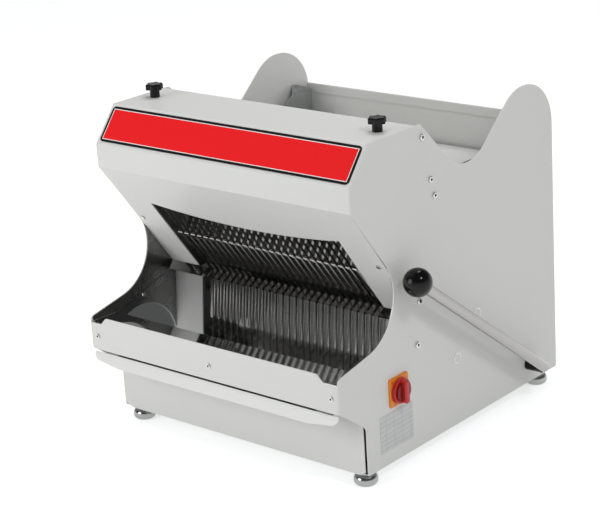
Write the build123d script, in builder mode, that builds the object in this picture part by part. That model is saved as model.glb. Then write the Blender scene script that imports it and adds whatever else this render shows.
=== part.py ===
from build123d import *
import math
import os

os.makedirs("parts", exist_ok=True)

# ---------------------------------------------------------------- main sizes
half_width = 310.0          # outer faces of the two side panels
sheet = 2.0                 # side panels and hood
thin_sheet = 1.5            # tray, lip, chute and back sheet
side_gap = 0.4              # inner sheets stop this short of a side panel
foot_height = 30.0
running_fit = 0.05          # radial play of a shaft or rod in its hole
screw_play = 0.1            # radial play round a screw
inner_half = half_width - sheet - side_gap

# profile of a side panel, (depth, height) with the corner radii
front_low = (0.0, 178.0)
front_top = (0.0, 242.0)
opening_back = (243.4, 288.2)
slope_top = (60.3, 530.0)
brow = (59.5, 576.0)
hood_front = (115.0, 643.0)
hood_back = (268.0, 642.0)
notch_low = (401.0, 503.0)
ear_front = (561.0, 638.0)
ear_back = (692.0, 638.0)
rear_low = (692.0, foot_height)
apron_low = (72.0, foot_height)
apron_top = (72.0, 124.5)
panel_corners = (
    front_low, front_top, opening_back, slope_top, brow, hood_front, hood_back,
    notch_low, ear_front, ear_back, rear_low, apron_low, apron_top,
)
panel_radii = (3.0, 9.0, 96.0, 2.0, 4.0, 2.0, 12.0, 87.0, 90.0, 93.0, 4.0, 4.0, 16.0)

# lever, shaft and ball
pivot = (590.0, 71.0)
ball_at = (189.0, 374.3)
lever_x = half_width + 40.0
lever_r = 10.5
ball_r = 27.0
shaft_r = 10.0
hub_r = 12.5

# screws
screw_head_r = 6.0
screw_head_h = 4.0
screw_r = 2.0

# cord gland and the tilted pull strip fix the front and back of the whole
strip_low_y = -8.0
strip_top = (2.0, 171.5)
strip_low_z = 149.0
gland_back = 704.0

# the shared frame sits under the middle of the whole machine
centre_x = ((lever_x + ball_r) - (half_width + screw_head_h)) / 2
centre_y = (gland_back + strip_low_y) / 2

# under-slope of the hood: direction up the slope and into the machine
slope_run = 0.728
slope_len = math.hypot(slope_run, 1.0)
up_y = -slope_run / slope_len
up_z = 1.0 / slope_len
in_y = up_z
in_z = -up_y

# combs and blades
pitch = 16.8
strip_count = 27
strip_w = 10.4
slot_w = pitch - strip_w
comb_half = (strip_count - 1) / 2 * pitch + strip_w / 2
blade_depth = 9.0           # blade plane behind the outer face of the slope
blade_w = 4.5
blade_t = 0.6
blades_per_frame = (strip_count - 1) // 2

# blade frames
bar_front = 3.5
blade_front = bar_front      # blades start flush with the bars
yoke_neck = 10.0
bar_deep = 18.5
bar_h = 14.0
bar_a_low = 222.0
bar_a_high = 505.0
bar_b_low = 255.0
bar_b_high = 470.0
rod_r = 4.0
rod_a_x = 255.0
rod_b_x = 282.0
stroke = 10.0

# crank drive
crank_z = 95.0
crank_y = slope_top[0] + slope_run * (slope_top[1] - crank_z) + blade_depth / up_z
crank_r = 7.0
pin_r = 5.0
web_r = 17.0
yoke_x = 15.0
yoke_t = 6.0
motor_at = (520.0, 150.0)
motor_r = 60.0
motor_shaft_r = 8.0
pulley_x = 123.0
pulley_w = 14.0
belt_w = 10.0
belt_t = 6.0
belt_play = 0.3
crank_pitch_r = 50.0
motor_pitch_r = 20.0

# pusher
comb_low = (256.0, 290.0)
comb_angle = 129.0
comb_len = 99.0
comb_rim = 6.0
arm_x = 227.0
arm_t = 4.0
floor_r = 396.5
floor_half = 224.5

# hold-down comb
foot_tip = (174.3, 380.3)
elbow = (193.0, 377.0)
knee = (241.7, 446.6)
rail_y = 192.0
rail_z = 466.0
stud_x = 273.0
stud_r = 4.0

# switch and plates on the right panel
switch_at = (168.5, 166.0)
switch_size = 56.0

panel_screw_at = ((269.6, 617.7), (290.6, 533.4), (300.7, 500.9), (242.3, 314.4), (230.7, 232.9))
plug_at = ((353.0, 164.0), (422.0, 232.0))


def side_plane(x):
    """Plane across the machine; sketches are drawn as (depth, height)."""
    return Plane(origin=(x - centre_x, -centre_y, 0), x_dir=(0, 1, 0), z_dir=(1, 0, 0))


def level(z):
    """Level plane; sketches are drawn as (across, depth)."""
    return Plane(origin=(-centre_x, -centre_y, z), x_dir=(1, 0, 0), z_dir=(0, 0, 1))


def facing(y):
    """Upright plane facing the front; sketches are drawn as (across, height)."""
    return Plane(origin=(-centre_x, y - centre_y, 0), x_dir=(1, 0, 0), z_dir=(0, -1, 0))


def slope_plane(depth):
    """Plane parallel to the under-slope, facing out, its zero at the top of the slope."""
    return Plane(
        origin=(
            -centre_x,
            slope_top[0] + depth * in_y - centre_y,
            slope_top[1] + depth * in_z,
        ),
        x_dir=(1, 0, 0),
        z_dir=(0, -in_y, -in_z),
    )


def rod_plane(v):
    """Plane square to the blades, its zero on the blade plane."""
    return Plane(
        origin=(
            -centre_x,
            slope_top[0] + blade_depth * in_y + v * up_y - centre_y,
            slope_top[1] + blade_depth * in_z + v * up_z,
        ),
        x_dir=(1, 0, 0),
        z_dir=(0, up_y, up_z),
    )


def crank_plane(x):
    """Plane across the machine, turned with the blades, its zero on the crank axis."""
    return Plane(
        origin=(x - centre_x, crank_y - centre_y, crank_z),
        x_dir=(0, in_y, in_z),
        z_dir=(1, 0, 0),
    )


def along(z):
    """Distance up the blade plane of a point at height z."""
    return (z - slope_top[1] - blade_depth * in_z) / up_z


def slope_y(z):
    """Depth of the outer face of the under-slope at height z."""
    return slope_top[0] + slope_run * (slope_top[1] - z)


def folded(points, radii, width):
    """Section of a folded sheet, from its centre line."""
    with BuildSketch(Plane.XY) as section:
        with BuildLine():
            FilletPolyline(*points, radius=radii)
        trace(line_width=width)
    return section.sketch


def closed_outline(points, radii):
    """Filled outline with rounded corners."""
    with BuildSketch(Plane.XY) as section:
        with BuildLine():
            FilletPolyline(*points, radius=radii, close=True)
        make_face()
    return section.sketch


panel_face = closed_outline(panel_corners, panel_radii)

# ---------------------------------------------------------------- side panels
bush_r = 14.0
bush_play = 0.05
switch_hole_r = 6.0
plug_r = 5.0

with BuildPart() as right_side_panel:
    with BuildSketch(side_plane(half_width - sheet)):
        add(panel_face)
        with Locations(*panel_screw_at):
            Circle(screw_r + screw_play, mode=Mode.SUBTRACT)
        with Locations(pivot):
            Circle(bush_r + bush_play, mode=Mode.SUBTRACT)
        with Locations(switch_at):
            Circle(switch_hole_r, mode=Mode.SUBTRACT)
        with Locations(*plug_at):
            Circle(plug_r + screw_play, mode=Mode.SUBTRACT)
    extrude(amount=sheet)
right_side_panel.part.label = "right_side_panel"
export_step(right_side_panel.part, "parts/right_side_panel.step")

with BuildPart() as left_side_panel:
    with BuildSketch(side_plane(-half_width)):
        add(panel_face)
        with Locations(*panel_screw_at):
            Circle(screw_r + screw_play, mode=Mode.SUBTRACT)
        with Locations(pivot):
            Circle(bush_r + bush_play, mode=Mode.SUBTRACT)
    extrude(amount=sheet)
left_side_panel.part.label = "left_side_panel"
export_step(left_side_panel.part, "parts/left_side_panel.step")

# pan-head screws through both side panels
with BuildPart() as panel_screws:
    with BuildSketch(side_plane(half_width)):
        with Locations(*panel_screw_at):
            Circle(screw_head_r)
    extrude(amount=screw_head_h)
    with BuildSketch(side_plane(-half_width)):
        with Locations(*panel_screw_at):
            Circle(screw_head_r)
    extrude(amount=-screw_head_h)
    fillet(
        panel_screws.edges().filter_by(GeomType.CIRCLE).group_by(Axis.X)[0]
        + panel_screws.edges().filter_by(GeomType.CIRCLE).group_by(Axis.X)[-1],
        radius=1.6,
    )
    with BuildSketch(side_plane(half_width)):
        with Locations(*panel_screw_at):
            Circle(screw_r)
    extrude(amount=-8.0)
    with BuildSketch(side_plane(-half_width)):
        with Locations(*panel_screw_at):
            Circle(screw_r)
    extrude(amount=8.0)
panel_screws.part.label = "panel_screws"
export_step(panel_screws.part, "parts/panel_screws.step")

# clinch nuts on the inner face of each panel
nut_r = 5.0
nut_t = 1.8
with BuildPart() as panel_nuts:
    with BuildSketch(side_plane(half_width - sheet)):
        with Locations(*panel_screw_at):
            Circle(nut_r)
            Circle(screw_r + screw_play, mode=Mode.SUBTRACT)
    extrude(amount=-nut_t)
    with BuildSketch(side_plane(-half_width + sheet)):
        with Locations(*panel_screw_at):
            Circle(nut_r)
            Circle(screw_r + screw_play, mode=Mode.SUBTRACT)
    extrude(amount=nut_t)
panel_nuts.part.label = "panel_nuts"
export_step(panel_nuts.part, "parts/panel_nuts.step")

# flush blanking plugs low on the right panel
with BuildPart() as blanking_plugs:
    with BuildSketch(side_plane(half_width)):
        with Locations(*plug_at):
            Circle(plug_r + 4.0)
    extrude(amount=0.6)
    with BuildSketch(side_plane(half_width)):
        with Locations(*plug_at):
            Circle(plug_r)
    extrude(amount=-sheet - 1.0)
blanking_plugs.part.label = "blanking_plugs"
export_step(blanking_plugs.part, "parts/blanking_plugs.step")

# ---------------------------------------------------------------- hood
leg_inner = 234.0
leg_low_z = 290.0
hood_rear_low = 485.0
hood_rear_y = hood_back[0] - 4.8
cut_side_z = 453.5
cut_mid_z = 434.7
hood_top_z = hood_front[1] + (hood_back[1] - hood_front[1]) * (rail_y - hood_front[0]) / (
    hood_back[0] - hood_front[0]
)
half_sheet = sheet / 2
hood_path = (
    (slope_y(leg_low_z) + half_sheet * in_y, leg_low_z + half_sheet * in_z),
    (slope_top[0] + half_sheet, slope_top[1] + 0.4),
    (brow[0] + half_sheet, brow[1] - 0.4),
    (hood_front[0] + 0.4, hood_front[1] - half_sheet),
    (hood_rear_y, hood_back[1] - half_sheet),
    (hood_rear_y, hood_rear_low),
)
with BuildPart() as hood:
    with BuildSketch(side_plane(-inner_half)):
        add(folded(hood_path, (3.0, 3.5, 3.0, 11.0), sheet))
    extrude(amount=2 * inner_half)
    # opening between the legs, its top edge a shallow arc
    with BuildSketch(facing(30.0)):
        with BuildLine():
            cut_top = ThreePointArc((leg_inner, cut_side_z), (0, cut_mid_z), (-leg_inner, cut_side_z))
            Polyline(cut_top @ 1, (-leg_inner, 250.0), (leg_inner, 250.0), cut_top @ 0)
        make_face()
    extrude(amount=-220.0, mode=Mode.SUBTRACT)
    # holes for the two hold-down studs
    with BuildSketch(level(600.0)):
        with Locations((-stud_x, rail_y), (stud_x, rail_y)):
            Circle(stud_r + running_fit)
    extrude(amount=60.0, mode=Mode.SUBTRACT)
    # holes for the leg screws
    with BuildSketch(slope_plane(-5.0)):
        with Locations((-294.0, along(411.0)), (294.0, along(411.0))):
            Circle(screw_r + screw_play)
    extrude(amount=-12.0, mode=Mode.SUBTRACT)
hood.part.label = "hood"
export_step(hood.part, "parts/hood.step")

# banner plate lying on the tilted facet above the brow
facet_len = math.hypot(hood_front[0] - brow[0], hood_front[1] - brow[1])
facet_y = (hood_front[0] - brow[0]) / facet_len
facet_z = (hood_front[1] - brow[1]) / facet_len
banner_w = 2 * half_width - 11.0
banner_h = 74.4
banner_t = 0.8
facet_off = 0.35
with BuildPart() as banner_panel:
    with BuildSketch(
        Plane(
            origin=(
                -centre_x,
                (64.2 + 111.7) / 2 - facet_off * facet_z - centre_y,
                (581.6 + 638.8) / 2 + facet_off * facet_y,
            ),
            x_dir=(1, 0, 0),
            z_dir=(0, -facet_z, facet_y),
        )
    ):
        RectangleRounded(banner_w, banner_h, 8.0)
    extrude(amount=banner_t)
banner_panel.part.label = "banner_panel"
export_step(banner_panel.part, "parts/banner_panel.step")

# ---------------------------------------------------------------- front lip
lip_low_z = 176.5
lip_high_z = 245.5
lip_end_z = 231.0
lip_screw_z = 204.8
lip_screw_x = (-half_width + 17.0, 0.0, half_width - 17.0)
lip_step_in = half_width - 34.0
with BuildPart() as front_lip:
    with BuildSketch(facing(thin_sheet)):
        add(
            closed_outline(
                (
                    (-inner_half, lip_low_z),
                    (inner_half, lip_low_z),
                    (inner_half, lip_end_z),
                    (lip_step_in, lip_end_z),
                    (lip_step_in - 14.0, lip_high_z),
                    (-lip_step_in + 8.0, lip_high_z),
                    (-lip_step_in - 6.0, lip_end_z),
                    (-inner_half, lip_end_z),
                ),
                (1.0, 1.0, 2.0, 7.0, 7.0, 7.0, 7.0, 2.0),
            )
        )
        with Locations(*[(x, lip_screw_z) for x in lip_screw_x]):
            Circle(screw_r + screw_play, mode=Mode.SUBTRACT)
    extrude(amount=thin_sheet)
front_lip.part.label = "front_lip"
export_step(front_lip.part, "parts/front_lip.step")

# ---------------------------------------------------------------- output tray
tray_fold = (67.0, 230.5)
tray_rear = (224.0, 273.3)
half_thin = thin_sheet / 2
tray_path = (
    (thin_sheet + half_thin + 0.1, 190.0),
    (thin_sheet + half_thin + 0.1, 232.0 - half_thin),
    (tray_fold[0], tray_fold[1] - half_thin),
    (tray_rear[0], tray_rear[1] - half_thin),
)
tray_screw_x = half_width - 12.0
tray_screw_y = 136.0
with BuildPart() as output_tray:
    with BuildSketch(side_plane(-inner_half)):
        add(folded(tray_path, (1.2, 2.0), thin_sheet))
    extrude(amount=2 * inner_half)
    with BuildSketch(facing(-1.0)):
        with Locations(*[(x, lip_screw_z) for x in lip_screw_x]):
            Circle(screw_r + screw_play)
    extrude(amount=-10.0, mode=Mode.SUBTRACT)
    with BuildSketch(level(240.0)):
        with Locations((-tray_screw_x, tray_screw_y), (tray_screw_x, tray_screw_y)):
            Circle(screw_r + 0.6)
    extrude(amount=20.0, mode=Mode.SUBTRACT)
output_tray.part.label = "output_tray"
export_step(output_tray.part, "parts/output_tray.step")

tray_tilt = math.atan2(tray_rear[1] - tray_fold[1], tray_rear[0] - tray_fold[0])
tray_screw_z = tray_fold[1] + 0.05 + (tray_screw_y - tray_fold[0]) * math.tan(tray_tilt)
tray_screw_plane = Plane(
    origin=(-centre_x, tray_screw_y - centre_y, tray_screw_z),
    x_dir=(1, 0, 0),
    z_dir=(0, -math.sin(tray_tilt), math.cos(tray_tilt)),
)
# small pan-head screws of the lip, the hood legs and the tray
with BuildPart() as cover_screws:
    for head_plane, places in (
        (facing(0.0), [(x, lip_screw_z) for x in lip_screw_x]),
        (slope_plane(0.0), [(-294.0, along(411.0)), (294.0, along(411.0))]),
        (tray_screw_plane, [(-tray_screw_x, 0), (tray_screw_x, 0)]),
    ):
        with BuildSketch(head_plane):
            with Locations(*places):
                Circle(5.2)
        extrude(amount=1.6)
        with BuildSketch(head_plane.offset(1.6)):
            with Locations(*places):
                Circle(4.2)
        extrude(amount=1.1)
        with BuildSketch(head_plane):
            with Locations(*places):
                Circle(screw_r - 0.2)
        extrude(amount=-1.9)
cover_screws.part.label = "cover_screws"
export_step(cover_screws.part, "parts/cover_screws.step")

# polished liners on the inner walls beside the tray
cheek_t = 1.2
cheek_zone = (
    (4.5, 233.2),
    (tray_fold[0], tray_fold[1] + 1.0),
    (tray_rear[0] - 0.5, tray_rear[1] + 1.0),
    (slope_y(289.0) - 1.2, 289.0),
    (slope_y(434.0) - 1.2, 434.0),
    (60.0, 445.0),
    (-10.0, 300.0),
)
with BuildPart() as tray_cheeks:
    for side_start in (-inner_half, inner_half - cheek_t):
        with BuildSketch(side_plane(side_start)):
            add(panel_face)
            offset(amount=-0.8)
            with BuildSketch(mode=Mode.INTERSECT):
                with BuildLine():
                    Polyline(*cheek_zone, close=True)
                make_face()
        extrude(amount=cheek_t)
tray_cheeks.part.label = "tray_cheeks"
export_step(tray_cheeks.part, "parts/tray_cheeks.step")

# ---------------------------------------------------------------- lower comb
comb_t = 2.0
rise = math.radians(29.0)
comb_tip = (250.5, 284.5)
lower_plane = Plane(
    origin=(-centre_x, comb_tip[0] - centre_y, comb_tip[1]),
    x_dir=(1, 0, 0),
    z_dir=(0, -math.sin(rise), math.cos(rise)),
)
finger_len = 42.0
rim_len = 14.0
with BuildPart() as lower_comb:
    with BuildSketch(lower_plane):
        with Locations((0, -finger_len - rim_len / 2)):
            Rectangle(2 * inner_half, rim_len)
        with Locations((0, -finger_len / 2 - strip_w / 4)):
            Rectangle(2 * comb_half, finger_len - strip_w / 2)
        with Locations((0, -strip_w / 2)):
            with GridLocations(pitch, 1, strip_count, 1):
                Circle(strip_w / 2)
        with Locations((0, -finger_len / 2 + slot_w / 4)):
            with GridLocations(pitch, 1, strip_count - 1, 1):
                Rectangle(slot_w, finger_len - slot_w / 2, mode=Mode.SUBTRACT)
        with Locations((0, -finger_len + slot_w / 2)):
            with GridLocations(pitch, 1, strip_count - 1, 1):
                Circle(slot_w / 2, mode=Mode.SUBTRACT)
    extrude(amount=-comb_t)
lower_comb.part.label = "lower_comb"
export_step(lower_comb.part, "parts/lower_comb.step")

# ---------------------------------------------------------------- side guides
guide_t = 1.5
web_outer = leg_inner
web_inner = leg_inner - guide_t
guide_depth = sheet + 0.1
web_low_z = 288.5
web_step_z = 450.0
web_top_z = 500.0
web_r_low = floor_r - 8.5


def arc_point(radius, degrees):
    """Point at a radius and angle about the lever pivot, as (depth, height)."""
    return (
        pivot[0] + radius * math.cos(math.radians(degrees)),
        pivot[1] + radius * math.sin(math.radians(degrees)),
    )


web_edge_low = (slope_y(web_low_z) + guide_depth / in_y, web_low_z)
web_edge_high = (slope_y(web_step_z) + guide_depth / in_y, web_step_z)
arc_a = arc_point(web_r_low, 144.0)
arc_b = arc_point(web_r_low, 118.0)
arc_c = arc_point(web_r_low, 90.0)
flange_w = inner_half - web_inner
with BuildPart() as side_guides:
    for web_start, flange_mid in (
        (-web_outer, -inner_half + flange_w / 2),
        (web_inner, web_inner + flange_w / 2),
    ):
        with BuildSketch(side_plane(web_start)):
            with BuildLine():
                Polyline(
                    arc_c,
                    (680.0, arc_c[1]),
                    (680.0, web_top_z),
                    (274.0, web_top_z),
                    (274.0, web_step_z),
                    web_edge_high,
                    web_edge_low,
                    (arc_a[0], web_low_z + 2.0),
                    arc_a,
                )
                ThreePointArc(arc_a, arc_b, arc_c)
            make_face()
        extrude(amount=guide_t)
        with BuildSketch(slope_plane(guide_depth)):
            with Locations((flange_mid, (along(web_low_z) + along(web_step_z)) / 2 + 6.0)):
                Rectangle(flange_w, along(web_step_z) - along(web_low_z) - 4.0)
        extrude(amount=-1.3)
side_guides.part.label = "side_guides"
export_step(side_guides.part, "parts/side_guides.step")

# sloping funnel plates over the gap between web and panel
funnel_front = 585.0
funnel_back = 672.0
funnel_peak = 640.0
funnel_x = 285.0
with BuildPart() as funnel_plates:
    for side_sign in (-1, 1):
        with BuildSketch(facing(funnel_back)):
            add(
                folded(
                    (
                        (side_sign * (web_outer + 0.8), web_top_z - 18.0),
                        (side_sign * (web_outer + 0.8), web_top_z - 8.0),
                        (side_sign * funnel_x, web_top_z - 6.0),
                        (side_sign * funnel_x, 548.0),
                        (side_sign * (inner_half - 1.0), 562.0),
                    ),
                    (2.0, 3.0, 3.0),
                    1.2,
                )
            )
        extrude(amount=funnel_back - funnel_front)
    # the upper edge slopes down to both ends
    with BuildSketch(side_plane(-half_width)):
        with BuildLine():
            Polyline(
                (funnel_front - 5.0, 533.0),
                (funnel_peak, 562.5),
                (funnel_back + 5.0, 550.0),
                (funnel_back + 5.0, 600.0),
                (funnel_front - 5.0, 600.0),
                close=True,
            )
        make_face()
    extrude(amount=2 * half_width, mode=Mode.SUBTRACT)
funnel_plates.part.label = "funnel_plates"
export_step(funnel_plates.part, "parts/funnel_plates.step")

# ---------------------------------------------------------------- chute floor
floor_t = 1.5
floor_mid_r = floor_r - floor_t / 2
with BuildPart() as chute_floor:
    with BuildSketch(side_plane(-floor_half)):
        with BuildLine():
            ThreePointArc(
                arc_point(floor_mid_r, 146.0), arc_point(floor_mid_r, 118.0), arc_point(floor_mid_r, 90.0)
            )
            Line(arc_point(floor_mid_r, 90.0), (680.0, pivot[1] + floor_mid_r))
        trace(line_width=floor_t)
    extrude(amount=2 * floor_half)
chute_floor.part.label = "chute_floor"
export_step(chute_floor.part, "parts/chute_floor.step")

# two ribs that carry the floor from the base
rib_x = 200.0
rib_t = 3.0
base_top = foot_height + sheet
rib_top_r = floor_r - floor_t
rib_low_r = rib_top_r - 36.5
with BuildPart() as floor_ribs:
    for rib_side in (-rib_x - rib_t / 2, rib_x - rib_t / 2):
        with BuildSketch(side_plane(rib_side)):
            with BuildLine():
                ThreePointArc(
                    arc_point(rib_top_r, 140.0), arc_point(rib_top_r, 115.0), arc_point(rib_top_r, 90.0)
                )
                Line(arc_point(rib_top_r, 90.0), (680.0, pivot[1] + rib_top_r))
                Line((680.0, pivot[1] + rib_top_r), (680.0, pivot[1] + rib_low_r))
                Line((680.0, pivot[1] + rib_low_r), arc_point(rib_low_r, 90.0))
                ThreePointArc(arc_point(rib_low_r, 90.0), arc_point(rib_low_r, 115.0), arc_point(rib_low_r, 140.0))
                Line(arc_point(rib_low_r, 140.0), arc_point(rib_top_r, 140.0))
            make_face()
            with Locations(((570.0 + 630.0) / 2, (base_top + 440.0) / 2)):
                Rectangle(60.0, 440.0 - base_top)
            with Locations(((350.0 + 390.0) / 2, (base_top + 350.0) / 2)):
                Rectangle(40.0, 350.0 - base_top)
            with Locations(pivot):
                Circle(shaft_r + 2.0, mode=Mode.SUBTRACT)
        extrude(amount=rib_t)
floor_ribs.part.label = "floor_ribs"
export_step(floor_ribs.part, "parts/floor_ribs.step")

# ---------------------------------------------------------------- base and covers
foot_x = half_width - 27.0
foot_front_y = 96.0
foot_rear_y = 657.0
foot_at = (
    (-foot_x, foot_front_y),
    (foot_x, foot_front_y),
    (-foot_x, foot_rear_y),
    (foot_x, foot_rear_y),
)
foot_stud_r = 4.0
base_front = apron_low[0] + thin_sheet + 0.1
back_outer = 690.0
with BuildPart() as base_plate:
    with BuildSketch(level(foot_height)):
        with Locations((0, (base_front + back_outer - thin_sheet) / 2)):
            Rectangle(2 * inner_half, back_outer - thin_sheet - base_front)
        with Locations(*foot_at):
            Circle(foot_stud_r + screw_play, mode=Mode.SUBTRACT)
    extrude(amount=sheet)
base_plate.part.label = "base_plate"
export_step(base_plate.part, "parts/base_plate.step")

apron_low_z = 28.0
apron_right = half_width - 7.5
with BuildPart() as lower_apron:
    with BuildSketch(facing(apron_low[0] + thin_sheet)):
        with BuildLine():
            Polyline(
                (-290.0, apron_low_z),
                (apron_right - 14.0, apron_low_z),
                (apron_right, apron_low_z + 7.0),
                (apron_right, 126.0),
                (apron_right - 14.0, 140.5),
                (-inner_half + 14.0, 140.5),
                (-inner_half, 126.0),
                (-inner_half, apron_low_z + 7.0),
                close=True,
            )
        make_face()
    extrude(amount=thin_sheet)
lower_apron.part.label = "lower_apron"
export_step(lower_apron.part, "parts/lower_apron.step")

gland_at = (-240.0, 90.0)
gland_body_r = 9.0
back_top = 557.0
hem_low = 538.0
hem_step = 2.4
back_mid = back_outer - half_thin
with BuildPart() as back_panel:
    with BuildSketch(side_plane(-inner_half)):
        add(
            folded(
                (
                    (back_mid, foot_height + 0.3),
                    (back_mid, back_top - half_thin),
                    (back_mid - hem_step, back_top - half_thin),
                    (back_mid - hem_step, hem_low),
                ),
                (1.0, 1.0),
                thin_sheet,
            )
        )
    extrude(amount=2 * inner_half)
    with BuildSketch(facing(back_outer - 4.0)):
        with Locations(gland_at):
            Circle(gland_body_r + 0.1)
    extrude(amount=-8.0, mode=Mode.SUBTRACT)
back_panel.part.label = "back_panel"
export_step(back_panel.part, "parts/back_panel.step")

# cord gland: flanged body, through bore, nut inside
cord_bore_r = 4.5
with BuildPart() as cord_gland:
    with BuildSketch(facing(back_outer - 12.0)):
        with Locations(gland_at):
            Circle(gland_body_r)
    extrude(amount=-12.0)
    with BuildSketch(facing(back_outer)):
        with Locations(gland_at):
            RegularPolygon(12.0, 6)
    extrude(amount=-6.0)
    with BuildSketch(facing(back_outer + 6.0)):
        with Locations(gland_at):
            Circle(10.0)
    extrude(amount=-(gland_back - back_outer - 6.0))
    fillet(cord_gland.edges().group_by(Axis.Y)[-1], radius=2.5)
    with BuildSketch(facing(back_outer - 14.0)):
        with Locations(gland_at):
            Circle(cord_bore_r)
    extrude(amount=-40.0, mode=Mode.SUBTRACT)
cord_gland.part.label = "cord_gland"
export_step(cord_gland.part, "parts/cord_gland.step")

# closed terminal box on the base, inside the rear corner
with BuildPart() as terminal_box:
    with BuildSketch(level(base_top)):
        with Locations((-240.0, 650.0)):
            Rectangle(50.0, 46.0)
    extrude(amount=80.0)
    fillet(terminal_box.edges().filter_by(Axis.Z), radius=4.0)
    with BuildSketch(level(base_top + 3.0)):
        with Locations((-240.0, 650.0)):
            Rectangle(44.0, 40.0)
    extrude(amount=74.0, mode=Mode.SUBTRACT)
terminal_box.part.label = "terminal_box"
export_step(terminal_box.part, "parts/terminal_box.step")

# stepped domed feet with their studs
with BuildPart() as one_foot:
    with BuildSketch(Plane.XZ):
        with BuildLine():
            foot_low = Polyline((0, 0), (15.0, 0))
            foot_round = ThreePointArc(foot_low @ 1, (21.0, 3.5), (23.0, 10.0))
            foot_dome = ThreePointArc(foot_round @ 1, (21.5, 17.0), (17.0, 21.5))
            Polyline(foot_dome @ 1, (15.0, 23.0), (15.0, foot_height), (0, foot_height), (0, 0))
        make_face()
    revolve(axis=Axis.Z)
with BuildPart() as feet:
    for foot_x_at, foot_y_at in foot_at:
        add(one_foot.part.moved(Location((foot_x_at - centre_x, foot_y_at - centre_y, 0))))
    with BuildSketch(level(foot_height)):
        with Locations(*foot_at):
            Circle(foot_stud_r)
    extrude(amount=14.0)
feet.part.label = "feet"
export_step(feet.part, "parts/feet.step")

# nuts on the foot studs, above the base plate
with BuildPart() as foot_nuts:
    with BuildSketch(level(base_top)):
        with Locations(*foot_at):
            RegularPolygon(7.5, 6)
            Circle(foot_stud_r + screw_play, mode=Mode.SUBTRACT)
    extrude(amount=6.0)
foot_nuts.part.label = "foot_nuts"
export_step(foot_nuts.part, "parts/foot_nuts.step")

# ---------------------------------------------------------------- blade frames
frame_specs = (
    ("frame_a_bars", bar_a_low, bar_a_high, rod_a_x + 10.0),
    ("frame_b_bars", bar_b_low, bar_b_high, rod_b_x + 10.0),
)
for node, low_z, high_z, bar_half in frame_specs:
    with BuildPart() as bars:
        with BuildSketch(slope_plane(bar_front)):
            with Locations((0, along(low_z)), (0, along(high_z))):
                Rectangle(2 * bar_half, bar_h)
        extrude(amount=-bar_deep)
        if node == "frame_b_bars":
            # the blades and rods of the other frame pass in open slots
            with BuildSketch(slope_plane(bar_front)):
                for bar_z in (low_z, high_z):
                    with Locations((-pitch / 2, along(bar_z))):
                        with GridLocations(2 * pitch, 1, blades_per_frame, 1):
                            Rectangle(3.0, bar_h + 2.0)
                    with Locations((-rod_a_x, along(bar_z)), (rod_a_x, along(bar_z))):
                        Rectangle(11.0, bar_h + 2.0)
            extrude(amount=-11.5, mode=Mode.SUBTRACT)
        if node == "frame_a_bars":
            # slot for the neck of the other yoke
            with BuildSketch(slope_plane(bar_front)):
                with Locations((-yoke_x, along(low_z))):
                    Rectangle(yoke_t + 3.0, bar_h + 2.0)
            extrude(amount=-12.0, mode=Mode.SUBTRACT)
    bars.part.label = node
    export_step(bars.part, "parts/" + node + ".step")

for node, low_z, high_z, rod_x in (
    ("frame_a_rods", bar_a_low, bar_a_high, rod_a_x),
    ("frame_b_rods", bar_b_low, bar_b_high, rod_b_x),
):
    with BuildPart() as rods:
        with BuildSketch(rod_plane(along(low_z) + bar_h / 2)):
            with Locations((-rod_x, 0), (rod_x, 0)):
                Circle(rod_r)
        extrude(amount=along(high_z) - along(low_z) - bar_h)
    rods.part.label = node
    export_step(rods.part, "parts/" + node + ".step")

for node, low_z, high_z, side_shift in (
    ("blades_a", bar_a_low, bar_a_high, -pitch / 2),
    ("blades_b", bar_b_low, bar_b_high, pitch / 2),
):
    with BuildPart() as blades:
        with BuildSketch(slope_plane(blade_front)):
            with Locations((side_shift, (along(low_z) + along(high_z)) / 2)):
                with GridLocations(2 * pitch, 1, blades_per_frame, 1):
                    Rectangle(blade_t, along(high_z) - along(low_z) - bar_h)
        extrude(amount=-blade_w)
    blades.part.label = node
    export_step(blades.part, "parts/" + node + ".step")

# guide blocks for the rods, two on each side panel
block_in = 244.0
block_h = 24.0
block_back = 18.0
block_front = 3.6
block_out = half_width - sheet - nut_t - side_gap
block_mid = (block_in + block_out) / 2
with BuildPart() as guide_blocks:
    for block_z in (310.0, 425.0):
        with BuildSketch(rod_plane(along(block_z) - block_h / 2)):
            with Locations(
                (-block_mid, (block_front + block_back) / 2 - blade_depth),
                (block_mid, (block_front + block_back) / 2 - blade_depth),
            ):
                Rectangle(block_out - block_in, block_back - block_front)
            with Locations((-rod_a_x, 0), (rod_a_x, 0), (-rod_b_x, 0), (rod_b_x, 0)):
                Circle(rod_r + running_fit, mode=Mode.SUBTRACT)
        extrude(amount=block_h)
guide_blocks.part.label = "guide_blocks"
export_step(guide_blocks.part, "parts/guide_blocks.step")

# yokes: a neck down from each lower bar and an open window round the crank pin
window_v = 2 * (stroke + stroke + pin_r + 0.6)
window_p = 2 * (stroke + pin_r + 0.8)
yoke_wall = 12.0
for node, low_z, yoke_start in (
    ("yoke_a", bar_a_low, yoke_x - yoke_t / 2),
    ("yoke_b", bar_b_low, -yoke_x - yoke_t / 2),
):
    neck_top = along(low_z) - along(crank_z) - bar_h / 2
    neck_low = window_v / 2 + yoke_wall / 2
    with BuildPart() as yoke:
        with BuildSketch(crank_plane(yoke_start)):
            RectangleRounded(window_p + 2 * yoke_wall, window_v + 2 * yoke_wall, 8.0)
            RectangleRounded(window_p, window_v, 4.0, mode=Mode.SUBTRACT)
            with Locations((0, (neck_top + neck_low) / 2)):
                Rectangle(yoke_neck, neck_top - neck_low)
        extrude(amount=yoke_t)
    yoke.part.label = node
    export_step(yoke.part, "parts/" + node + ".step")

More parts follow.
